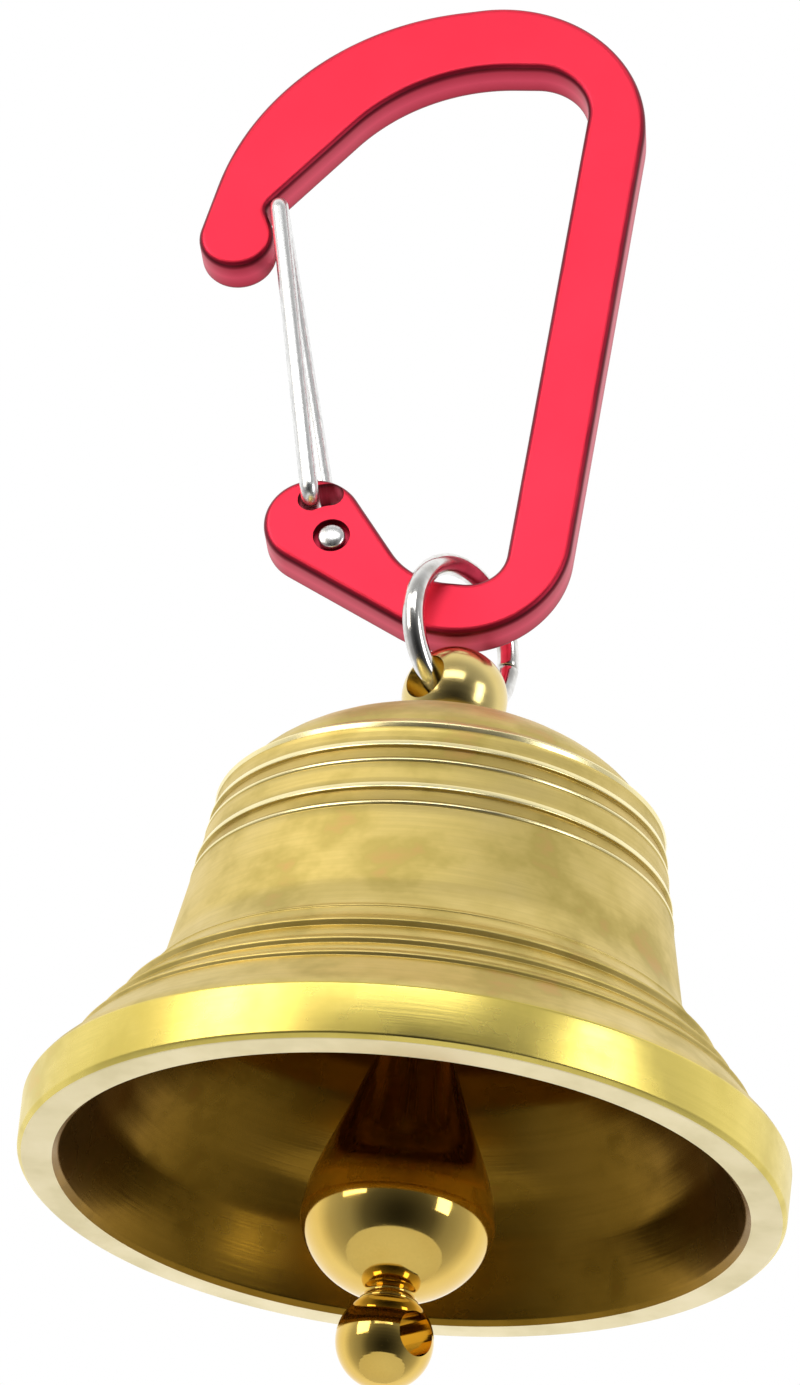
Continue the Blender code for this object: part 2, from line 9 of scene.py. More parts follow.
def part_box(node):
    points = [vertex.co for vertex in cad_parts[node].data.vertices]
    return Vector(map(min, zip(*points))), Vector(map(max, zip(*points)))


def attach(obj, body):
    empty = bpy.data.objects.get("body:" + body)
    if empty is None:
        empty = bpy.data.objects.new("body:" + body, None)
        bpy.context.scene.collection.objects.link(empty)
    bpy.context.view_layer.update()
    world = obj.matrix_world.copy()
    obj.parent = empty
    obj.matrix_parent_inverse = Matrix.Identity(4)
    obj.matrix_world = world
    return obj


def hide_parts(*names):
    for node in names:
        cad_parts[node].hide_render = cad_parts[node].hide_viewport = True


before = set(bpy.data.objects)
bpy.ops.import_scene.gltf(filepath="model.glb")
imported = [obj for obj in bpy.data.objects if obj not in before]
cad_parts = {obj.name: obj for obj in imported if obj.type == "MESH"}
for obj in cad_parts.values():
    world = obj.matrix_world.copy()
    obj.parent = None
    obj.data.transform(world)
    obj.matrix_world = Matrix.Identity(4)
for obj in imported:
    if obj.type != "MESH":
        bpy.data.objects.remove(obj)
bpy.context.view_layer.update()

bl_info = {
    "name": "Pendant Bell with Carabiner",
    "version": (1, 0, 0),
    "blender": (4, 5, 0),
    "location": "3D View > Sidebar > Pendant Bell",
    "description": "Builds a small turned brass bell, hung by a wire ring from a wire-gate carabiner",
    "category": "Object",
}

MM = 0.001

# Where the frame has each piece, in millimetres.
MOUTH_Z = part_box("bell_shell")[0].z / MM
RING_Z = (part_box("link_ring")[0].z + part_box("link_ring")[1].z) / 2 / MM
LINK_Z = (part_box("clapper_ring")[0].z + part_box("clapper_ring")[1].z) / 2 / MM
WASHER_BOX = [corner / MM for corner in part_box("crown_washer")]
NUT_BOX = [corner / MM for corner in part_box("crown_nut")]
KNOB_BOX = [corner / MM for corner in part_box("crown_knob")]
CLAPPER_BOX = [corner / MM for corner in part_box("clapper")]

# ---------------------------------------------------------------- carabiner, millimetres
PLATE = 3.0
SEAT = (0.0, -37.9)
NOTCH = (-15.1, -12.35)
PIVOT = (-8.87, -37.46)     # where the gate turns
TAIL = (-10.5, -34.85)      # where the gate's front leg enters the plate
GATE_OPEN = 25.0
# Arcs of the plate's outline, joined by their common tangents, clockwise from the nose as seen from -Y:
# x, z, radius, and +1 where the outline bulges out or -1 where it curves in.
PLATE_ARCS = [
    (-17.8, -14.6, 2.5, 1),
    (-0.8, -14.1, 19.1, 1),
    (-1.2, -4.9, 10.0, 1),
    (-0.7, -36.9, 7.3, 1),
    (-10.2, -36.4, 3.2, 1),
    (-1.0, -35.6, 4.75, -1),
    (SEAT[0], SEAT[1], 2.5, -1),
    (1.2, -3.6, 3.65, -1),
    (0.0, -13.6, 13.6, -1),
    (NOTCH[0], NOTCH[1], 0.9, -1),
]
OUTLINE_STEP = 0.25         # length of the outline's facets
WIRE_R = 0.6
LEG_Y = PLATE / 2 + 0.1 + WIRE_R
BEND_R = 0.72
BEND_STEPS = 14
WIRE_ROUNDNESS = 6
TAIL_REACH = 1.3            # how far the front leg's tail reaches into the plate
PIVOT_END = 0.3             # the pivot end stops this far inside the front face
HEAD_IN = 0.12              # the peened head's middle lies this far inside the front face
HEAD_FLATTEN = 0.6
PIVOT_HOLE_R = 0.68
SINK_R = 1.2
SINK_DEPTH = 0.7
TAIL_SLOT_HALF = 0.85
CUT_ROUND = 0.1             # rounding of the edges that the holes leave

# ---------------------------------------------------------------- rings, knob and bell, millimetres
RING_R = 4.8
RING_WIRE_R = 0.7
RING_TURN = 35.0
LINK_R = 2.9
LINK_WIRE_R = 0.45
WIRE_END_ROUND = 0.05

KNOB_R = 3.35
KNOB_Z = KNOB_BOX[1].z - KNOB_R
BORE_R = 1.5
BORE_UP = 0.2
NECK_R = 2.4
KNOB_LIFT = 0.3             # between the crown's flat and the knob's neck
STUD_R = 1.7
STUD_EYE_R = 0.9
STUD_EYE_UP = 1.5           # eye's middle above the stud's end
STUD_IN_NUT = 0.15          # the thread starts this far below the nut's underside
THREAD_PITCH = 0.4
THREAD_DEPTH = 0.14
HOLE_PLAY = 0.1             # radial play of the stud in its washer and nut

RIM_R = 23.0
MOUTH_R = 20.5
BAND_H = 3.4
FLARE_H = 9.8
FLARE_OUT = 5.25
FLARE_POWER = 1.35
WAIST_LOW_R = 17.85
WAIST_HIGH_R = 13.85
WAIST_POWER = 0.9
SHOULDER_Z = 25.0
SHOULDER_R = 13.2
CROWN_H = 6.5
CROWN_POWER = 1.55
CROWN_SEAT_R = 3.9
WALL = 2.3
CROWN_WALL = 3.0
GROOVE_DEEP = 0.13
LIP_PROUD = 0.08
GROOVES_FROM = 16.0
INSIDE_CROWN_R = 11.0       # faces that look down within this radius belong to the inside
SHELL_SIDES = 192

# ---------------------------------------------------------------- clapper, from the mouth's plane
BOB_R = 5.85
BOB_Z = -1.1
BOB_DROP = 5.2
BALL_R = 2.9
BALL_Z = -9.0
BALL_BORE_R = 1.35
BALL_BORE_TURN = 50.0
STEM_R = 1.35
EYE_R = 0.8
EYE_W = 1.75
EYE_T = 1.0

# ---------------------------------------------------------------- stage
VIEWER_SIDE = (0.11, -0.87, -0.48)  # towards the viewer
FLOOR_R = 700
LIT_POINT = (0, 0, -55)
# Softboxes: name, place and size in millimetres, share of the key light's power, and colour.
SOFTBOXES = [
    ("key softbox", (-290, -270, 60), (220, 300), 0.5, "#FFF8EE"),
    ("front softbox", (0, -560, 255), (460, 200), 0.55, "#FFFFFF"),
    ("side softbox", (330, -200, -40), (120, 260), 0.25, "#FFFFFF"),
]
# Brightness of the room, from behind the object at 0 to the viewer's side at 1.
ROOM_SHADES = [(0.0, 1.0), (0.34, 0.94), (0.52, 0.50), (0.64, 0.38), (0.76, 0.29), (0.88, 0.10), (1.0, 0.02)]
CAMERA_AT = (28.35, -248.15, -182.6)
CAMERA_AIM = (-3.49, 0, -47.83)
CAMERA_ROLL = 6.6           # degrees
CAMERA_LENS = 117


# ---------------------------------------------------------------- helpers
def linear(code):
    """An sRGB hex colour as linear red, green, blue."""
    parts = [int(code[i:i + 2], 16) / 255 for i in (1, 3, 5)]
    return tuple(c / 12.92 if c <= 0.04045 else ((c + 0.055) / 1.055) ** 2.4 for c in parts)


def add_node(tree, kind, inputs=None, **settings):
    """Add a node.  inputs maps a socket's name or number to a value or to another node's socket."""
    node = tree.nodes.new(kind)
    for name, value in settings.items():
        setattr(node, name, value)
    for key, value in (inputs or {}).items():
        if isinstance(value, bpy.types.NodeSocket):
            tree.links.new(value, node.inputs[key])
        else:
            node.inputs[key].default_value = value
    return node


def new_material(name, colour, metallic, roughness, **sockets):
    """A material with its Principled shader, which it returns with its node tree."""
    mat = bpy.data.materials.new(name)
    mat.use_nodes = True
    mat.diffuse_color = (*colour, 1)
    tree = mat.node_tree
    shader = tree.nodes["Principled BSDF"]
    shader.inputs["Base Color"].default_value = (*colour, 1)
    shader.inputs["Metallic"].default_value = metallic
    shader.inputs["Roughness"].default_value = roughness
    for key, value in sockets.items():
        shader.inputs[key.replace("_", " ")].default_value = value
    return mat, tree, shader


def calculate(tree, operation, *values):
    """The result of a Math node."""
    return add_node(tree, "ShaderNodeMath", dict(enumerate(values)), operation=operation).outputs[0]


def ramp(tree, value, stops):
    """A colour ramp through (position, colour) stops; a single number stands for a grey."""
    node = add_node(tree, "ShaderNodeValToRGB", {"Fac": value})
    marks = node.color_ramp.elements
    while len(marks) < len(stops):
        marks.new(0.5)
    for mark, (place, colour) in zip(marks, stops):
        mark.position = place
        mark.color = (*colour, 1) if isinstance(colour, tuple) else (colour, colour, colour, 1)
    return node.outputs["Color"]


def stretched_noise(tree, size_mm, detail=2.0, roughness=0.5):
    """Noise whose features are size_mm long along each object axis."""
    place = add_node(tree, "ShaderNodeTexCoord").outputs["Object"]
    scaled = add_node(tree, "ShaderNodeMapping", {"Vector": place, "Scale": [1 / (s * MM) for s in size_mm]})
    return add_node(tree, "ShaderNodeTexNoise", {"Vector": scaled.outputs[0], "Scale": 1.0, "Detail": detail,
                                                 "Roughness": roughness}).outputs["Fac"]


def bump(tree, shader, height, depth_mm, strength):
    """Drive the shader's normal from a height."""
    inputs = {"Height": height, "Distance": depth_mm * MM, "Strength": strength}
    node = add_node(tree, "ShaderNodeBump", inputs)
    tree.links.new(node.outputs["Normal"], shader.inputs["Normal"])


def tint(tree, shader, factor, colour_a, colour_b):
    """Base colour that goes from one colour to another with the factor."""
    mix = add_node(tree, "ShaderNodeMix", {"Factor": factor}, data_type='RGBA')
    for socket, colour in ((6, colour_a), (7, colour_b)):
        if isinstance(colour, bpy.types.NodeSocket):
            tree.links.new(colour, mix.inputs[socket])
        else:
            mix.inputs[socket].default_value = (*colour, 1)
    tree.links.new(mix.outputs[2], shader.inputs["Base Color"])


def mesh_object(name, bm, sharp=30):
    """Turn a bmesh in millimetres into an object in metres at the origin, smooth but for its edges."""
    bmesh.ops.remove_doubles(bm, verts=bm.verts, dist=1e-4)
    bmesh.ops.recalc_face_normals(bm, faces=bm.faces)
    bmesh.ops.scale(bm, verts=bm.verts, vec=(MM, MM, MM))
    mesh = bpy.data.meshes.new(name)
    bm.to_mesh(mesh)
    bm.free()
    mesh.shade_smooth()
    mesh.set_sharp_from_angle(angle=math.radians(sharp))
    obj = bpy.data.objects.new(name, mesh)
    bpy.context.scene.collection.objects.link(obj)
    return obj


def apply_cuts(obj, cuts, bevel_mm=0.0, sharp=30):
    """Cut or join tool objects, each with its Boolean operation, round the new edges and keep the result."""
    for tool, operation in cuts:
        mod = obj.modifiers.new(tool.name, 'BOOLEAN')
        mod.operation = operation
        mod.solver = 'EXACT'
        mod.object = tool
    if bevel_mm:
        mod = obj.modifiers.new("edge", 'BEVEL')
        mod.width = bevel_mm * MM
        mod.segments = 3
        mod.limit_method = 'ANGLE'
        mod.angle_limit = math.radians(42)
    bpy.context.view_layer.update()
    mesh = bpy.data.meshes.new_from_object(obj.evaluated_get(bpy.context.evaluated_depsgraph_get()))
    obj.modifiers.clear()
    old = obj.data
    obj.data = mesh
    mesh.name = obj.name
    bpy.data.meshes.remove(old)
    for tool, _ in cuts:
        bpy.data.objects.remove(tool, do_unlink=True)
    mesh.shade_smooth()
    mesh.set_sharp_from_angle(angle=math.radians(sharp))


def weigh_normals(obj):
    """Keep flat faces flat up to their rounded edges."""
    mod = obj.modifiers.new("weighted normals", 'WEIGHTED_NORMAL')
    mod.keep_sharp = True


def finish_piece(obj, body, slot, mats, *nodes):
    """Give a piece its materials and its CAD body, and hide the CAD nodes that it stands for. The slot is not
    used.
    """
    for mat in mats:
        obj.data.materials.append(mat)
    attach(obj, body)
    if nodes:
        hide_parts(*nodes)


def rounded(points, steps=4):
    """A section through (r, z, rounding) points, in millimetres, with each corner eased by its rounding."""
    flat = [Vector(p[:2]) for p in points]
    line = []
    for i, (place, point) in enumerate(zip(flat, points)):
        ease = point[2] if len(point) > 2 else 0
        if not ease or i in (0, len(points) - 1):
            line.append(place)
            continue
        before, after = flat[i - 1] - place, flat[i + 1] - place
        a = place + before.normalized() * min(ease, before.length * 0.45)
        b = place + after.normalized() * min(ease, after.length * 0.45)
        for k in range(steps + 1):
            t = k / steps
            line.append(a * (1 - t) ** 2 + place * (2 * t * (1 - t)) + b * t ** 2)
    return line


def turned(section, sides, closed=False):
    """Turn a section about Z into a bmesh, in millimetres."""
    bm = bmesh.new()
    verts = [bm.verts.new((r, 0, z)) for r, z in section]
    edges = [bm.edges.new(pair) for pair in zip(verts, verts[1:])]
    if closed:
        edges.append(bm.edges.new((verts[-1], verts[0])))
    bmesh.ops.spin(bm, geom=verts + edges, cent=(0, 0, 0), axis=(0, 0, 1), angle=2 * math.pi, steps=sides,
                   use_merge=True)
    return bm


def rod(name, radius, length, at, along, sides=64):
    """A plain round rod, used as a drill."""
    bm = bmesh.new()
    bmesh.ops.create_cone(bm, cap_ends=True, segments=sides, radius1=radius, radius2=radius, depth=length)
    turn = Vector((0, 0, 1)).rotation_difference(Vector(along)).to_matrix()
    bmesh.ops.rotate(bm, verts=bm.verts, matrix=turn)
    bmesh.ops.translate(bm, verts=bm.verts, vec=at)
    return mesh_object(name, bm)


def arc(cx, cz, radius, start, end, steps):
    """Points of an arc, in degrees anticlockwise from the first axis, both ends included."""
    angles = [math.radians(start + (end - start) * i / steps) for i in range(steps + 1)]
    return [(cx + radius * math.cos(a), cz + radius * math.sin(a)) for a in angles]


# ---------------------------------------------------------------- materials
def anodised_red(dye):
    """Dyed, bead-blasted and anodised aluminium: an even satin colour, with painted reflections on the
    plate's side walls: paler pink in the middle of each wall and dark maroon next to the rounded rims.
    """
    mat, tree, shader = new_material("red anodised aluminium", tuple(dye), 0.8, 0.42)
    place = add_node(tree, "ShaderNodeTexCoord").outputs["Object"]
    depth = add_node(tree, "ShaderNodeSeparateXYZ", {0: place}).outputs["Y"]
    share = calculate(tree, 'DIVIDE', calculate(tree, 'ABSOLUTE', depth), PLATE / 2 * MM)
    painted_edge_jitter = stretched_noise(tree, (2.5, 2.5, 2.5))
    shift = calculate(tree, 'MULTIPLY_ADD', painted_edge_jitter, 0.05, share)
    # Painted reflections on the side walls: the paler pink middle stands in for white surroundings, and the
    # dark maroon band by the rounded rims stands in for dark surroundings.
    edge = ramp(tree, shift, [(0.0, linear("#D4405C")), (0.62, linear("#B4243F")), (0.88, linear("#560A1B")),
                              (0.985, linear("#B01A36")), (1.0, tuple(dye))])
    cloud = stretched_noise(tree, (7, 7, 7), 3.0)
    tint(tree, shader, ramp(tree, cloud, [(0.35, 0.0), (0.75, 0.08)]), edge, linear("#FF5870"))
    bump(tree, shader, stretched_noise(tree, (0.12, 0.12, 0.12)), 0.004, 0.5)
    return mat


def satin_brass(colour, name="satin turned brass", roughness=0.45, marks=0.5, tarnish=1.0):
    """Yellow brass turned on a lathe and left satin: fine rings round the axis and faint tarnish clouds."""
    mat, tree, shader = new_material(name, tuple(colour), 1.0, roughness, Anisotropic=0.45)
    tangent = add_node(tree, "ShaderNodeTangent", direction_type='RADIAL', axis='Z')
    tree.links.new(tangent.outputs[0], shader.inputs["Tangent"])
    # Turning marks are about 0.05 mm apart on such a bell; these are drawn at 0.22 mm so that they show.
    rings = stretched_noise(tree, (9, 9, 0.22), 3.0, 0.6)
    clouds = stretched_noise(tree, (6, 6, 4.5), 4.0, 0.6)
    base = tuple(colour)
    dull, pink, pale = (tuple(min(1.0, c * (1 + (k - 1) * tarnish)) for c, k in zip(base, shift)) for shift in
                        ((0.80, 0.80, 0.70), (0.90, 0.76, 0.80), (1.12, 1.12, 1.25)))
    cloudy = ramp(tree, clouds, [(0.30, pink), (0.38, dull), (0.50, base), (0.70, pale)])
    tint(tree, shader, ramp(tree, rings, [(0.40, 0.0), (0.68, 0.35)]), cloudy, dull)
    rough = ramp(tree, clouds, [(0.3, roughness + 0.08), (0.7, roughness - 0.06)])
    tree.links.new(rough, shader.inputs["Roughness"])
    bump(tree, shader, rings, 0.006, marks)
    return mat


def polished_brass(colour, name="mirror polished brass", roughness=0.06):
    """Yellow brass turned and buffed: a clean mirror with the faintest rings left from the lathe."""
    mat, tree, shader = new_material(name, tuple(colour), 1.0, roughness)
    base = tuple(colour)
    warm = tuple(c * k for c, k in zip(base, (0.92, 0.86, 0.72)))
    tint(tree, shader, ramp(tree, stretched_noise(tree, (3, 3, 2)), [(0.35, 0.0), (0.7, 0.6)]), base, warm)
    smears = stretched_noise(tree, (2, 2, 0.4), 3.0)
    rough = ramp(tree, smears, [(0.4, roughness), (0.75, roughness + 0.07)])
    tree.links.new(rough, shader.inputs["Roughness"])
    bump(tree, shader, stretched_noise(tree, (6, 6, 0.2)), 0.0015, 0.35)
    return mat


def spring_wire():
    """Cold-drawn stainless spring wire: a grey satin with fine scratches along its length."""
    mat, tree, shader = new_material("drawn stainless wire", linear("#E2E2E0"), 1.0, 0.26)
    lines = stretched_noise(tree, (0.10, 0.10, 4.0), 3.0)
    tint(tree, shader, ramp(tree, lines, [(0.35, 0.0), (0.7, 1.0)]), linear("#F4F4F2"), linear("#CFD0D0"))
    tree.links.new(ramp(tree, lines, [(0.3, 0.2), (0.7, 0.38)]), shader.inputs["Roughness"])
    bump(tree, shader, lines, 0.003, 0.4)
    return mat


def nickel_plate():
    """Bright nickel plate on a bent steel wire: a near mirror with slight handling haze."""
    mat, tree, shader = new_material("bright nickel plate", linear("#E4E3E0"), 1.0, 0.12)
    haze = stretched_noise(tree, (0.8, 0.8, 0.8), 3.0)
    tint(tree, shader, ramp(tree, haze, [(0.4, 0.0), (0.75, 0.7)]), linear("#E9E8E5"), linear("#BDB9B2"))
    tree.links.new(ramp(tree, haze, [(0.35, 0.08), (0.75, 0.24)]), shader.inputs["Roughness"])
    return mat


def pale_floor():
    """Matt white board, very slightly mottled."""
    mat, tree, shader = new_material("matt white board", linear("#E6E6E4"), 0.0, 0.9)
    speck = stretched_noise(tree, (30, 30, 30))
    tint(tree, shader, ramp(tree, speck, [(0.3, 0.0), (0.7, 1.0)]), linear("#EAEAE8"), linear("#E2E2E0"))
    return mat


# ---------------------------------------------------------------- carabiner and gate
def tangent_join(first, second):
    """Where the outline leaves one arc and reaches the next, along their common tangent."""
    (ax, az, ar, a_side), (bx, bz, br, b_side) = first, second
    between = Vector((bx - ax, bz - az))
    offset = (b_side * br - a_side * ar) / between.length
    along = math.sqrt(1 - offset ** 2)
    ux, uz = between.normalized()
    run = Vector((along * ux - offset * uz, along * uz + offset * ux))
    right = Vector((run.y, -run.x))
    return Vector((ax, az)) - right * a_side * ar, Vector((bx, bz)) - right * b_side * br


def plate_outline(bm, arcs, step):
    """Spin each arc of the outline from its first vertex, join them by straight edges and fill the loop."""
    joins = [tangent_join(part, arcs[(i + 1) % len(arcs)]) for i, part in enumerate(arcs)]
    chains = []
    for i, (cx, cz, radius, side) in enumerate(arcs):
        centre = Vector((cx, cz))
        start, end = joins[i - 1][1] - centre, joins[i][0] - centre
        sweep = side * (math.atan2(start.y, start.x) - math.atan2(end.y, end.x)) % (2 * math.pi)
        steps = math.ceil(radius * sweep / step)
        turn = Matrix.Rotation(side * sweep / steps, 3, 'Y')
        chain = [bm.verts.new((cx + start.x, 0, cz + start.y))]
        for _ in range(steps):
            grown = bmesh.ops.extrude_vert_indiv(bm, verts=[chain[-1]])["verts"][0]
            bmesh.ops.rotate(bm, verts=[grown], cent=(cx, 0, cz), matrix=turn)
            chain.append(grown)
        chains.append(chain)
    for chain, after in zip(chains, chains[1:] + chains[:1]):
        bm.edges.new((chain[-1], after[0]))
    bmesh.ops.remove_doubles(bm, verts=bm.verts, dist=0.02)
    bmesh.ops.edgeloop_fill(bm, edges=bm.edges)


def thicken(bm, depth):
    """Extrude the flat face in the XZ plane to a plate centred on Y."""
    bmesh.ops.translate(bm, verts=bm.verts, vec=(0, -depth / 2, 0))
    grown = bmesh.ops.extrude_face_region(bm, geom=list(bm.faces))["geom"]
    bmesh.ops.translate(bm, verts=[g for g in grown if isinstance(g, bmesh.types.BMVert)], vec=(0, depth, 0))
    bmesh.ops.recalc_face_normals(bm, faces=bm.faces)


def round_plate_edges(bm, width, segments):
    """Bevel the rims where a plate's flat faces meet its side wall."""
    rims = [e for e in bm.edges if len(e.link_faces) == 2
            and {abs(round(f.normal.y)) for f in e.link_faces} == {0, 1}]
    bmesh.ops.bevel(bm, geom=rims, offset=width, segments=segments, profile=0.5, affect='EDGES', material=-1,
                    clamp_overlap=True)


def tail_slot():
    """The curved clearance slot that the gate's front leg moves in, as a cutter."""
    reach = Vector((TAIL[0] - PIVOT[0], TAIL[1] - PIVOT[1]))
    shut = math.degrees(math.atan2(reach.y, reach.x))
    far = shut - GATE_OPEN
    end = arc(*PIVOT, reach.length, far, far, 1)[0]
    points = arc(*PIVOT, reach.length + TAIL_SLOT_HALF, far, shut, 10)
    points += arc(*TAIL, TAIL_SLOT_HALF, shut, shut + 180, 20)[1:]
    points += arc(*PIVOT, reach.length - TAIL_SLOT_HALF, shut, far, 10)[1:]
    points += arc(*end, TAIL_SLOT_HALF, far - 180, far, 20)[1:-1]
    bm = bmesh.new()
    loop = [bm.verts.new((x, 0, z)) for x, z in points]
    for pair in zip(loop, loop[1:] + loop[:1]):
        bm.edges.new(pair)
    bmesh.ops.edgeloop_fill(bm, edges=bm.edges)
    thicken(bm, PLATE * 2)
    return mesh_object("tail slot", bm)


def build_plate(settings):
    """The carabiner's plate, with its pivot hole, the recess for the pivot's head and the tail's slot."""
    bm = bmesh.new()
    plate_outline(bm, PLATE_ARCS, OUTLINE_STEP)
    thicken(bm, PLATE)
    round_plate_edges(bm, settings.edge_rounding / MM, 6)
    plate = mesh_object("carabiner_plate", bm, 40)
    middle, front = (PIVOT[0], 0, PIVOT[1]), (PIVOT[0], -PLATE / 2, PIVOT[1])
    cuts = [(rod("pivot hole", PIVOT_HOLE_R, PLATE * 2, middle, (0, 1, 0)), 'DIFFERENCE'),
            (rod("head recess", SINK_R, SINK_DEPTH * 2, front, (0, 1, 0)), 'DIFFERENCE'),
            (tail_slot(), 'DIFFERENCE')]
    apply_cuts(plate, cuts, CUT_ROUND, 40)
    weigh_normals(plate)
    finish_piece(plate, "carabiner", "red_anodised", [anodised_red(settings.dye)], "carabiner_body")


def gate_path():
    """The middle of the gate's wire: front tail, round the nose, and back to the pivot."""
    corners = [Vector(c) for c in (
        (TAIL[0], -PLATE / 2 + TAIL_REACH, TAIL[1]), (TAIL[0], -LEG_Y, TAIL[1]),
        (NOTCH[0], -LEG_Y, NOTCH[1]), (NOTCH[0], LEG_Y, NOTCH[1]),
        (PIVOT[0], LEG_Y, PIVOT[1]), (PIVOT[0], -PLATE / 2 + PIVOT_END, PIVOT[1]))]
    path = [corners[0]]
    for before, corner, after in zip(corners, corners[1:], corners[2:]):
        into, out = (corner - before).normalized(), (after - corner).normalized()
        half = into.angle(out) / 2
        start = corner - into * (BEND_R * math.tan(half))
        centre = corner + (out - into).normalized() * (BEND_R / math.cos(half))
        axis = into.cross(out).normalized()
        for k in range(BEND_STEPS + 1):
            path.append(centre + Matrix.Rotation(2 * half * k / BEND_STEPS, 3, axis) @ (start - centre))
    return path + [corners[-1]]


def wire_along(name, path, radius):
    """A round wire with capped ends along a path, as a mesh object."""
    curve = bpy.data.curves.new(name, 'CURVE')
    curve.dimensions = '3D'
    curve.bevel_depth = radius
    curve.bevel_resolution = WIRE_ROUNDNESS
    curve.use_fill_caps = True
    spline = curve.splines.new('POLY')
    spline.points.add(len(path) - 1)
    for point, place in zip(spline.points, path):
        point.co = (*place, 1.0)
    carrier = bpy.data.objects.new(name + " path", curve)
    bpy.context.scene.collection.objects.link(carrier)
    mesh = bpy.data.meshes.new_from_object(carrier.evaluated_get(bpy.context.evaluated_depsgraph_get()))
    bpy.data.objects.remove(carrier, do_unlink=True)
    bm = bmesh.new()
    bm.from_mesh(mesh)
    bpy.data.meshes.remove(mesh)
    return mesh_object(name, bm, 50)


def build_gate():
    """The wire gate, and the peened head that keeps its pivot end in the plate."""
    steel = spring_wire()
    wire = wire_along("gate_wire", gate_path(), WIRE_R)
    finish_piece(wire, "gate", "gate_wire", [steel], "wire_gate")
    # The end of the wire is peened over in its countersink: a flat dome with a crushed rim.
    head = turned(rounded([(0, 0.42), (0.45, 0.38, 0.2), (0.80, 0.16, 0.2), (0.88, -0.08, 0.08),
                           (0.82, -0.52, 0.05), (0, -0.52)]), 48)
    bmesh.ops.scale(head, verts=head.verts, vec=(1, 1, HEAD_FLATTEN))
    bmesh.ops.rotate(head, verts=head.verts, matrix=Matrix.Rotation(math.pi / 2, 3, 'X'))
    bmesh.ops.translate(head, verts=head.verts, vec=(PIVOT[0], -PLATE / 2 + HEAD_IN, PIVOT[1]))
    finish_piece(mesh_object("gate_pivot_head", head, 50), "gate", "gate_wire", [steel])


# ---------------------------------------------------------------- rings
def wire_ring(ring_r, wire_r, around, across, turn, gap_mm):
    """An upright wire ring, bent round until its two cut ends nearly meet at its side."""
    bm = bmesh.new()
    circle = bmesh.ops.create_circle(bm, segments=across, radius=wire_r, cap_ends=True)["verts"]
    bmesh.ops.rotate(bm, verts=circle, matrix=Matrix.Rotation(math.pi / 2, 3, 'X'))
    bmesh.ops.translate(bm, verts=circle, vec=(ring_r, 0, 0))
    start = gap_mm / ring_r / 2
    bmesh.ops.rotate(bm, verts=circle, cent=(0, 0, 0), matrix=Matrix.Rotation(start, 3, 'Z'))
    bmesh.ops.spin(bm, geom=bm.faces[:], cent=(0, 0, 0), axis=(0, 0, 1), angle=2 * math.pi - 2 * start,
                   steps=around)
    bmesh.ops.recalc_face_normals(bm, faces=bm.faces)
    ends = [e for f in bm.faces if len(f.verts) == across for e in f.edges]
    bmesh.ops.bevel(bm, geom=ends, offset=WIRE_END_ROUND, segments=2, profile=0.5, affect='EDGES',
                    material=-1)
    stand = Matrix.Rotation(math.radians(turn), 3, 'Z') @ Matrix.Rotation(math.pi / 2, 3, 'Y')
    quarter_turn = Matrix.Rotation(math.radians(90), 3, 'Z')
    bmesh.ops.rotate(bm, verts=bm.verts, matrix=stand @ quarter_turn)
    return bm


def build_rings(settings):
    """The link ring between the carabiner and the knob, and the clapper's ring."""
    nickel = nickel_plate()
    link = wire_ring(RING_R, RING_WIRE_R, 96, 28, -RING_TURN, settings.seam / MM)
    bmesh.ops.translate(link, verts=link.verts, vec=(0, 0, RING_Z))
    finish_piece(mesh_object("link_wire_ring", link, 45), "ring", "ring_steel", [nickel], "link_ring")
    small = wire_ring(LINK_R, LINK_WIRE_R, 72, 20, 0, settings.seam / MM)
    bmesh.ops.translate(small, verts=small.verts, vec=(0, 0, LINK_Z))
    finish_piece(mesh_object("clapper_wire_ring", small, 45), "clapper_link", "ring_steel", [nickel],
                 "clapper_ring")


# ---------------------------------------------------------------- bell
def skin(z):
    """Radius of the bell's outside above the rim band, without its beads and grooves."""
    t = max(0.0, (z - BAND_H) / (SHOULDER_Z - BAND_H))
    waist = WAIST_LOW_R + (WAIST_HIGH_R - WAIST_LOW_R) * t ** WAIST_POWER
    return waist + FLARE_OUT * max(0.0, 1 - (z - BAND_H) / FLARE_H) ** FLARE_POWER


def run(low, high, steps):
    """Section points up the plain outside from one height to another."""
    heights = [low + (high - low) * i / steps for i in range(steps + 1)]
    return [(skin(z), z) for z in heights]


def turned_groove(low, high, deep):
    """A shallow flat-bottomed groove between two burnished lips."""
    return [(skin(low), low - 0.26, 0.04), (skin(low) + LIP_PROUD, low - 0.14, 0.06),
            (skin(low) + LIP_PROUD, low - 0.02, 0.05), (skin(low) - deep, low + 0.16, 0.05),
            (skin(high) - deep, high - 0.08, 0.03), (skin(high) + LIP_PROUD, high, 0.03),
            (skin(high) + LIP_PROUD, high + 0.10, 0.05), (skin(high), high + 0.32, 0.05)]


def soft_bead(low, high, proud):
    """A rounded ridge left standing between two cuts."""
    shoulder = (high - low) * 0.25
    return [(skin(low), low, 0.04), (skin(low) + proud, low + shoulder, 0.14),
            (skin(high) + proud, high - shoulder, 0.14), (skin(high), high, 0.04)]


def crown_height(radius):
    """Height of the domed crown at a radius."""
    return SHOULDER_Z + CROWN_H * (1 - (radius / SHOULDER_R) ** CROWN_POWER) ** (1 / CROWN_POWER)


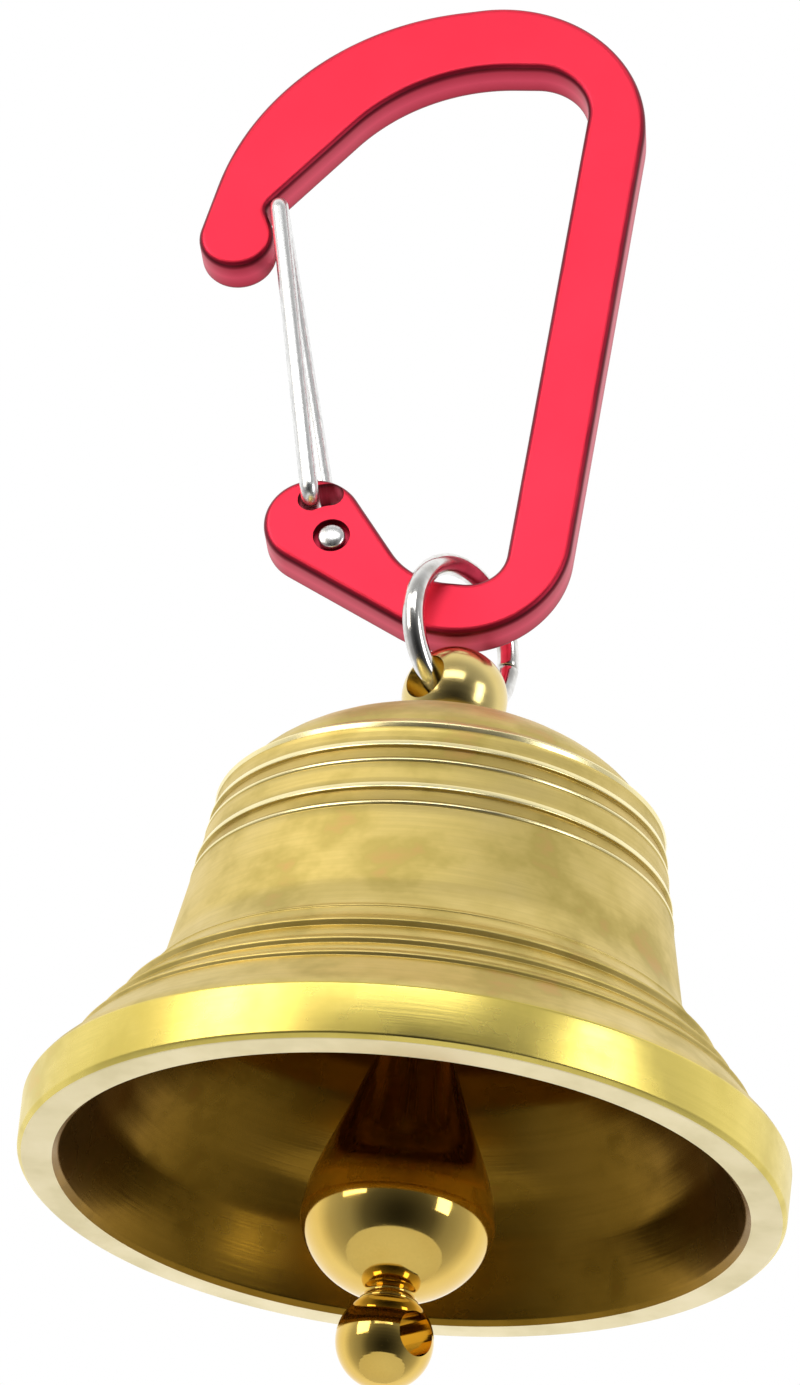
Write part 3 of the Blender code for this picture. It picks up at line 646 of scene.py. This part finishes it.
def bell_section():
    """Closed section of the shell: rim, outside with its turned lines, crown, hole and inside."""
    crown_top = crown_height(CROWN_SEAT_R)
    under = crown_top - CROWN_WALL
    points = [(MOUTH_R + 0.35, 0.0, 0.10), (RIM_R - 0.32, 0.0, 0.10), (RIM_R - 0.02, 0.28, 0.10)]
    points += [(RIM_R + 0.08, BAND_H - 0.12, 0.12), (RIM_R - 0.10, BAND_H + 0.15, 0.12)]
    points += run(3.75, 5.95, 7) + soft_bead(6.12, 7.05, 0.15) + soft_bead(7.42, 8.60, 0.19)
    points += run(8.75, 9.05, 1) + soft_bead(9.20, 10.50, 0.25)
    points += soft_bead(10.95, 11.35, 0.06) + run(11.60, 18.45, 18)
    points += turned_groove(18.90, 19.90, GROOVE_DEEP) + run(20.35, 21.65, 4)
    points += turned_groove(22.02, 22.98, GROOVE_DEEP) + run(23.40, 24.25, 3)
    points += [(14.02, 24.40, 0.05), (14.08, 24.66, 0.08), (13.86, 24.82, 0.05)]
    points += [(SHOULDER_R * k, crown_height(SHOULDER_R * k), 0.04)
               for k in (0.992, 0.975, 0.95, 0.92, 0.88, 0.83, 0.77, 0.70, 0.62, 0.54, 0.46, 0.38, 0.32)]
    points += [(CROWN_SEAT_R, crown_top, 0.05), (STUD_R + 0.35, crown_top, 0.05)]
    points += [(STUD_R + 0.30, under, 0.05), (4.9, under, 0.1)]
    points += [(x, z, 0.3) for x, z in arc(4.9, under - 4.0, 4.0, 78, 22, 5)]
    points += [(9.6, under - 4.4, 0.5), (11.1, under - 7.6, 0.8)]
    points += [(skin(z) - WALL, z, 0.5) for z in (18.0, 16.0, 14.0, 12.0, 10.2, 8.5, 7.0)]
    points += [(18.85, 5.0, 0.6), (19.75, 2.4, 0.5), (MOUTH_R, 0.30, 0.12)]
    return [(place.x, place.y) for place in rounded(points + [points[0]])[:-1]]


def build_shell(settings):
    """The shell, with a finish of its own for the inside, the band, the lip, the grooves and their lips; the
    inside and the grooves are darkened as painted shade, and the lip and the groove lips are paled as painted
    highlights.
    """
    bm = turned(bell_section(), SHELL_SIDES, closed=True)
    bmesh.ops.remove_doubles(bm, verts=bm.verts, dist=1e-4)
    bmesh.ops.recalc_face_normals(bm, faces=bm.faces)
    for face in bm.faces:
        middle = face.calc_center_median()
        radial = Vector((middle.x, middle.y, 0)).normalized().dot(face.normal)
        under_crown = middle.z > BAND_H * 2 and middle.xy.length < INSIDE_CROWN_R
        if radial < -0.2 or (face.normal.z < -0.5 and under_crown):
            face.material_index = 1
        elif middle.z < BAND_H - 0.05 and radial > 0.6:
            face.material_index = 2
        elif middle.z < 0.2 and face.normal.z < -0.5:
            face.material_index = 3
        elif GROOVES_FROM < middle.z < SHOULDER_Z and middle.xy.length < skin(middle.z) - GROOVE_DEEP / 2:
            face.material_index = 4
        elif GROOVES_FROM < middle.z < SHOULDER_Z and middle.xy.length > skin(middle.z) + LIP_PROUD * 0.3:
            face.material_index = 5
    bmesh.ops.translate(bm, verts=bm.verts, vec=(0, 0, MOUTH_Z))
    mats = [satin_brass(settings.brass),
            # The inside is darker than the outside brass: painted shade inside the bowl.
            satin_brass(settings.inside, "inside brass darkened as painted shade", 0.24, 0.7),
            satin_brass(settings.band, "burnished brass band", 0.27, 0.45, 0.6),
            # The faced lip has a finish of its own, and its pale cream colour is also a painted sheen.
            satin_brass(settings.lip, "faced brass lip paled as painted sheen", 0.42, 0.6, 0.35),
            # The groove floors are darker than the outside brass: painted shade in the grooves.
            satin_brass([c * k for c, k in zip(settings.brass, (0.90, 0.86, 0.80))],
                        "groove brass darkened as painted shade", 0.38, 0.6),
            # The groove lips are burnished and smoother, and their near-white colour is a painted highlight.
            satin_brass(settings.groove_lip_highlight, "burnished groove lips with painted highlight", 0.22, 0.4, 0.3)]
    finish_piece(mesh_object("bell_bowl", bm, 32), "bell", "bell_brass", mats, "bell_shell")


def build_crown(settings):
    """The eyed knob on the crown with its threaded stud, and the washer and nut that hold it inside."""
    seat = MOUTH_Z + crown_height(CROWN_SEAT_R) + KNOB_LIFT
    ball = [(r, KNOB_Z + z) for r, z in arc(0, 0, KNOB_R, 90, -math.degrees(math.acos(NECK_R / KNOB_R)), 40)]
    ball[0] = (0, KNOB_Z + KNOB_R)
    ridge = NUT_BOX[0].z - STUD_IN_NUT
    end = KNOB_BOX[0].z
    eye_z = end + STUD_EYE_UP
    section = ball + [(NECK_R, seat + 0.25), (NECK_R - 0.05, seat), (STUD_R, seat), (STUD_R, ridge)]
    for k in range(int((ridge - end - THREAD_PITCH) / THREAD_PITCH)):
        z = ridge - THREAD_PITCH * k
        section += [(STUD_R, z - 0.05), (STUD_R - THREAD_DEPTH, z - 0.2), (STUD_R, z - 0.35)]
    section += [(STUD_R - 0.3, end), (0, end)]
    knob = mesh_object("knob_and_stud", turned(section, 96), 35)
    turn = math.radians(RING_TURN)
    along = (math.sin(turn), math.cos(turn), 0)
    cuts = [(rod("knob bore", BORE_R, KNOB_R * 3, (0, 0, KNOB_Z + BORE_UP), along), 'DIFFERENCE'),
            (rod("stud eye", STUD_EYE_R, STUD_R * 4, (0, 0, eye_z), (0, 1, 0), 32), 'DIFFERENCE')]
    apply_cuts(knob, cuts, 0.0, 35)
    finish_piece(knob, "bell", "knob_brass", [polished_brass(settings.knob, "polished brass knob", 0.17)],
                 "crown_knob")
    hardware = satin_brass(settings.knob, "machined brass hardware", 0.34, 0.8)
    hole_r = STUD_R + HOLE_PLAY
    low, high = WASHER_BOX
    ring = [(hole_r, low.z, 0.05), (high.x, low.z, 0.08), (high.x, high.z, 0.08), (hole_r, high.z, 0.05)]
    washer = turned(rounded(ring + ring[:1])[:-1], 64, closed=True)
    finish_piece(mesh_object("stud_washer", washer), "bell", "nut_brass", [hardware], "crown_washer")
    low, high = NUT_BOX
    bm = bmesh.new()
    flat = high.x / math.cos(math.pi / 6)
    bmesh.ops.create_cone(bm, cap_ends=True, segments=6, radius1=flat, radius2=flat, depth=high.z - low.z)
    bmesh.ops.bevel(bm, geom=bm.edges, offset=0.16, segments=3, profile=0.5, affect='EDGES', material=-1)
    bmesh.ops.translate(bm, verts=bm.verts, vec=(0, 0, (low.z + high.z) / 2))
    nut = mesh_object("stud_nut", bm, 30)
    apply_cuts(nut, [(rod("nut bore", hole_r, 8, (0, 0, low.z), (0, 0, 1), 48), 'DIFFERENCE')], 0.08)
    finish_piece(nut, "bell", "nut_brass", [hardware], "crown_nut")


# ---------------------------------------------------------------- clapper
def build_clapper(settings):
    """Teardrop bob with its eye, collared neck and cross-drilled ball, all turned from one bar."""
    stem_top = CLAPPER_BOX[1].z - MOUTH_Z - EYE_W - 1.9
    eye_z = CLAPPER_BOX[1].z - EYE_W
    section = [(0, stem_top), (STEM_R - 0.2, stem_top, 0.1), (STEM_R, stem_top - 0.2, 0.1),
               (STEM_R, 13.6, 1.0)]
    section += [(1.66, 11.6, 1.2), (2.62, 8.3, 1.2), (3.76, 5.1, 1.2), (4.86, 2.4, 1.2), (5.62, 0.3, 1.0)]
    section += [(BOB_R * math.cos(a), BOB_Z + BOB_DROP * math.sin(a), 0.3)
                for a in (math.radians(k) for k in range(-3, -76, -6))]
    section += [(1.52, -6.30, 0.12), (1.52, -6.48, 0.06), (1.78, -6.56, 0.06), (1.78, -6.72, 0.06),
                (1.52, -6.80, 0.06)]
    section += [(r, z, 0.05) for r, z in arc(0, BALL_Z, BALL_R, 55, -88, 36)] + [(0, BALL_Z - BALL_R)]
    body = turned(rounded(section, 5), 128)
    bmesh.ops.translate(body, verts=body.verts, vec=(0, 0, MOUTH_Z))
    clapper = mesh_object("clapper_bob", body, 40)
    lug = bmesh.new()
    outline = arc(0, eye_z, EYE_W, -50, 230, 40) + [(-STEM_R * 0.8, eye_z - 2.3), (STEM_R * 0.8, eye_z - 2.3)]
    loop = [lug.verts.new((x, 0, z)) for x, z in outline]
    for pair in zip(loop, loop[1:] + loop[:1]):
        lug.edges.new(pair)
    bmesh.ops.edgeloop_fill(lug, edges=lug.edges)
    thicken(lug, EYE_T * 2)
    turn = math.radians(BALL_BORE_TURN)
    along = (math.sin(turn), -math.cos(turn), 0)
    cuts = [(mesh_object("eye lug", lug), 'UNION'),
            (rod("eye hole", EYE_R, 8, (0, 0, eye_z), (0, 1, 0), 40), 'DIFFERENCE'),
            (rod("ball bore", BALL_BORE_R, 12, (0, 0, MOUTH_Z + BALL_Z), along), 'DIFFERENCE')]
    apply_cuts(clapper, cuts, 0.0, 40)
    finish_piece(clapper, "clapper_bob", "clapper_brass", [polished_brass(settings.brass)], "clapper")


# ---------------------------------------------------------------- stage
def area_light(name, at, size, power, colour):
    """A softbox that faces the object."""
    data = bpy.data.lights.new(name, 'AREA')
    data.shape = 'RECTANGLE'
    data.size, data.size_y = (s * MM for s in size)
    data.energy = power
    data.color = linear(colour)
    lamp = bpy.data.objects.new(name, data)
    bpy.context.scene.collection.objects.link(lamp)
    lamp.location = Vector(at) * MM
    lamp.rotation_euler = (Vector(LIT_POINT) * MM - lamp.location).to_track_quat('-Z', 'Y').to_euler()


def studio_world(strength):
    """A white room, dim on the viewer's side; the camera itself sees plain white."""
    world = bpy.data.worlds.new("white room")
    world.use_nodes = True
    bpy.context.scene.world = world
    tree = world.node_tree
    shade = tree.nodes["Background"]
    way = add_node(tree, "ShaderNodeTexCoord").outputs["Generated"]
    facing = add_node(tree, "ShaderNodeVectorMath", {0: way, 1: VIEWER_SIDE}, operation='DOT_PRODUCT')
    share = calculate(tree, 'MULTIPLY_ADD', facing.outputs["Value"], 0.5, 0.5)
    room = ramp(tree, share, ROOM_SHADES)
    tree.links.new(room, shade.inputs["Color"])
    shade.inputs["Strength"].default_value = strength
    plain = add_node(tree, "ShaderNodeBackground", {"Color": (1, 1, 1, 1), "Strength": 1.0})
    seen = add_node(tree, "ShaderNodeLightPath").outputs["Is Camera Ray"]
    mixed = add_node(tree, "ShaderNodeMixShader", {0: seen, 1: shade.outputs[0], 2: plain.outputs[0]})
    tree.links.new(mixed.outputs[0], tree.nodes["World Output"].inputs["Surface"])


def add_camera():
    """The camera, below the object and looking up into the bell."""
    data = bpy.data.cameras.new("camera")
    data.sensor_fit = 'VERTICAL'
    data.sensor_height = 36
    data.lens = CAMERA_LENS
    data.clip_start = 0.01
    camera = bpy.data.objects.new("camera", data)
    bpy.context.scene.collection.objects.link(camera)
    place, aim = Vector(CAMERA_AT), Vector(CAMERA_AIM)
    look = (aim - place).to_track_quat('-Z', 'Y').to_matrix()
    roll = Matrix.Rotation(math.radians(CAMERA_ROLL), 3, 'Z')
    camera.matrix_world = Matrix.Translation(place * MM) @ (look @ roll).to_4x4()
    bpy.context.scene.camera = camera


def build_stage(settings):
    """The floor, the white room, the softboxes and the camera."""
    bm = bmesh.new()
    bmesh.ops.create_circle(bm, cap_ends=True, segments=96, radius=FLOOR_R)
    bmesh.ops.translate(bm, verts=bm.verts, vec=(0, 0, -settings.floor_drop / MM))
    floor = mesh_object("floor", bm)
    floor.data.materials.append(pale_floor())
    studio_world(settings.room_light)
    for name, at, size, share, colour in SOFTBOXES:
        area_light(name, at, size, settings.key_light * share, colour)
    # Plain display colours: white stays white.
    bpy.context.scene.view_settings.view_transform = 'Standard'
    add_camera()


# ---------------------------------------------------------------- settings
class PENDANTBELL_PG_carabiner(bpy.types.PropertyGroup):
    edge_rounding: FloatProperty(name="Edge rounding", description="Radius of the tumbled edges of the plate",
                                 default=0.5 * MM, min=0.1 * MM, max=0.9 * MM, subtype='DISTANCE',
                                 unit='LENGTH')
    dye: FloatVectorProperty(name="Dye", description="Colour of the anodised faces", subtype='COLOR', size=3,
                             default=linear("#F0304A"), min=0, max=1)


class PENDANTBELL_PG_ring(bpy.types.PropertyGroup):
    seam: FloatProperty(name="Seam", description="Gap between the two cut ends of each bent ring",
                        default=0.12 * MM, min=0.02 * MM, max=0.5 * MM, subtype='DISTANCE', unit='LENGTH')


class PENDANTBELL_PG_bell(bpy.types.PropertyGroup):
    brass: FloatVectorProperty(name="Outside", description="Colour of the satin brass outside", size=3,
                               subtype='COLOR', default=linear("#D6C073"), min=0, max=1)
    # Darker than the outside brass: painted shade inside the bowl.
    inside: FloatVectorProperty(name="Inside", description="Colour of the inside, darkened as painted shade", size=3,
                                subtype='COLOR', default=linear("#8F6C22"), min=0, max=1)
    band: FloatVectorProperty(name="Band", description="Colour of the burnished band round the rim", size=3,
                              subtype='COLOR', default=linear("#E4CF6C"), min=0, max=1)
    # Pale cream: the faced lip's own finish with a painted sheen.
    lip: FloatVectorProperty(name="Lip", description="Colour of the flat ring round the mouth", size=3,
                             subtype='COLOR', default=linear("#EDE0B6"), min=0, max=1)
    # Near-white: the burnished groove lips carry a painted highlight.
    groove_lip_highlight: FloatVectorProperty(name="Groove lips", description="Colour of the burnished groove lips, paled as painted highlight",
                                    size=3, subtype='COLOR', default=linear("#FBEDB4"), min=0, max=1)
    knob: FloatVectorProperty(name="Knob", description="Colour of the knob, washer and nut", size=3,
                              subtype='COLOR', default=linear("#E2CC86"), min=0, max=1)


class PENDANTBELL_PG_clapper(bpy.types.PropertyGroup):
    brass: FloatVectorProperty(name="Clapper", description="Colour of the polished clapper", size=3,
                               subtype='COLOR', default=linear("#E6C468"), min=0, max=1)


class PENDANTBELL_PG_stage(bpy.types.PropertyGroup):
    floor_drop: FloatProperty(name="Floor drop", description="How far the floor lies below the hanging point",
                              default=0.8, min=0.12, max=2.0, subtype='DISTANCE', unit='LENGTH')
    room_light: FloatProperty(name="Room light", description="Strength of the white room", default=1.1, min=0,
                              max=5)
    key_light: FloatProperty(name="Key light", description="Power of the main softbox", default=1.5, min=0,
                             max=50, unit='POWER')


# ---------------------------------------------------------------- operators
class PENDANTBELL_OT_plate(bpy.types.Operator):
    """Build the carabiner's plate, with its pivot hole and tail slot"""
    bl_idname = "pendant_bell.plate"
    bl_label = "Carabiner Plate"

    def execute(self, context):
        build_plate(context.scene.pendant_carabiner)
        return {'FINISHED'}


class PENDANTBELL_OT_gate(bpy.types.Operator):
    """Build the wire gate and the peened head of its pivot"""
    bl_idname = "pendant_bell.gate"
    bl_label = "Wire Gate"

    def execute(self, context):
        build_gate()
        return {'FINISHED'}


class PENDANTBELL_OT_rings(bpy.types.Operator):
    """Build the link ring and the clapper's ring"""
    bl_idname = "pendant_bell.rings"
    bl_label = "Wire Rings"

    def execute(self, context):
        build_rings(context.scene.pendant_ring)
        return {'FINISHED'}


class PENDANTBELL_OT_shell(bpy.types.Operator):
    """Turn the bell's shell, with its band, beads and grooves"""
    bl_idname = "pendant_bell.shell"
    bl_label = "Bell Shell"

    def execute(self, context):
        build_shell(context.scene.pendant_bell)
        return {'FINISHED'}


class PENDANTBELL_OT_crown(bpy.types.Operator):
    """Build the knob and its stud, the washer and the nut"""
    bl_idname = "pendant_bell.crown"
    bl_label = "Knob, Washer and Nut"

    def execute(self, context):
        build_crown(context.scene.pendant_bell)
        return {'FINISHED'}


class PENDANTBELL_OT_clapper(bpy.types.Operator):
    """Turn the clapper, with its eye, neck and drilled ball"""
    bl_idname = "pendant_bell.clapper"
    bl_label = "Clapper"

    def execute(self, context):
        build_clapper(context.scene.pendant_clapper)
        return {'FINISHED'}


class PENDANTBELL_OT_stage(bpy.types.Operator):
    """Set up the floor, the lights and the camera"""
    bl_idname = "pendant_bell.stage"
    bl_label = "Stage"

    def execute(self, context):
        build_stage(context.scene.pendant_stage)
        return {'FINISHED'}


class PENDANTBELL_PT_panel(bpy.types.Panel):
    """Lists the pieces and their settings"""
    bl_idname = "PENDANTBELL_PT_panel"
    bl_label = "Pendant Bell"
    bl_space_type = 'VIEW_3D'
    bl_region_type = 'UI'
    bl_category = "Pendant Bell"

    def draw(self, context):
        scene = context.scene
        for group in (scene.pendant_carabiner, scene.pendant_ring, scene.pendant_bell, scene.pendant_clapper,
                      scene.pendant_stage):
            box = self.layout.box()
            for name in group.bl_rna.properties.keys():
                if name not in {"rna_type", "name"}:
                    box.prop(group, name)
        for operator in OPERATORS:
            self.layout.operator(operator.bl_idname)


GROUPS = {
    "pendant_carabiner": PENDANTBELL_PG_carabiner,
    "pendant_ring": PENDANTBELL_PG_ring,
    "pendant_bell": PENDANTBELL_PG_bell,
    "pendant_clapper": PENDANTBELL_PG_clapper,
    "pendant_stage": PENDANTBELL_PG_stage,
}
OPERATORS = (PENDANTBELL_OT_plate, PENDANTBELL_OT_gate, PENDANTBELL_OT_rings, PENDANTBELL_OT_shell,
             PENDANTBELL_OT_crown, PENDANTBELL_OT_clapper, PENDANTBELL_OT_stage)


def register():
    for cls in (*GROUPS.values(), *OPERATORS, PENDANTBELL_PT_panel):
        bpy.utils.register_class(cls)
    for name, cls in GROUPS.items():
        setattr(bpy.types.Scene, name, PointerProperty(type=cls))


def unregister():
    for name in GROUPS:
        delattr(bpy.types.Scene, name)
    for cls in reversed((*GROUPS.values(), *OPERATORS, PENDANTBELL_PT_panel)):
        bpy.utils.unregister_class(cls)


def main():
    register()
    bpy.ops.pendant_bell.plate()
    bpy.ops.pendant_bell.gate()
    bpy.ops.pendant_bell.rings()
    bpy.ops.pendant_bell.shell()
    bpy.ops.pendant_bell.crown()
    bpy.ops.pendant_bell.clapper()
    bpy.ops.pendant_bell.stage()


if __name__ == "__main__":
    main()
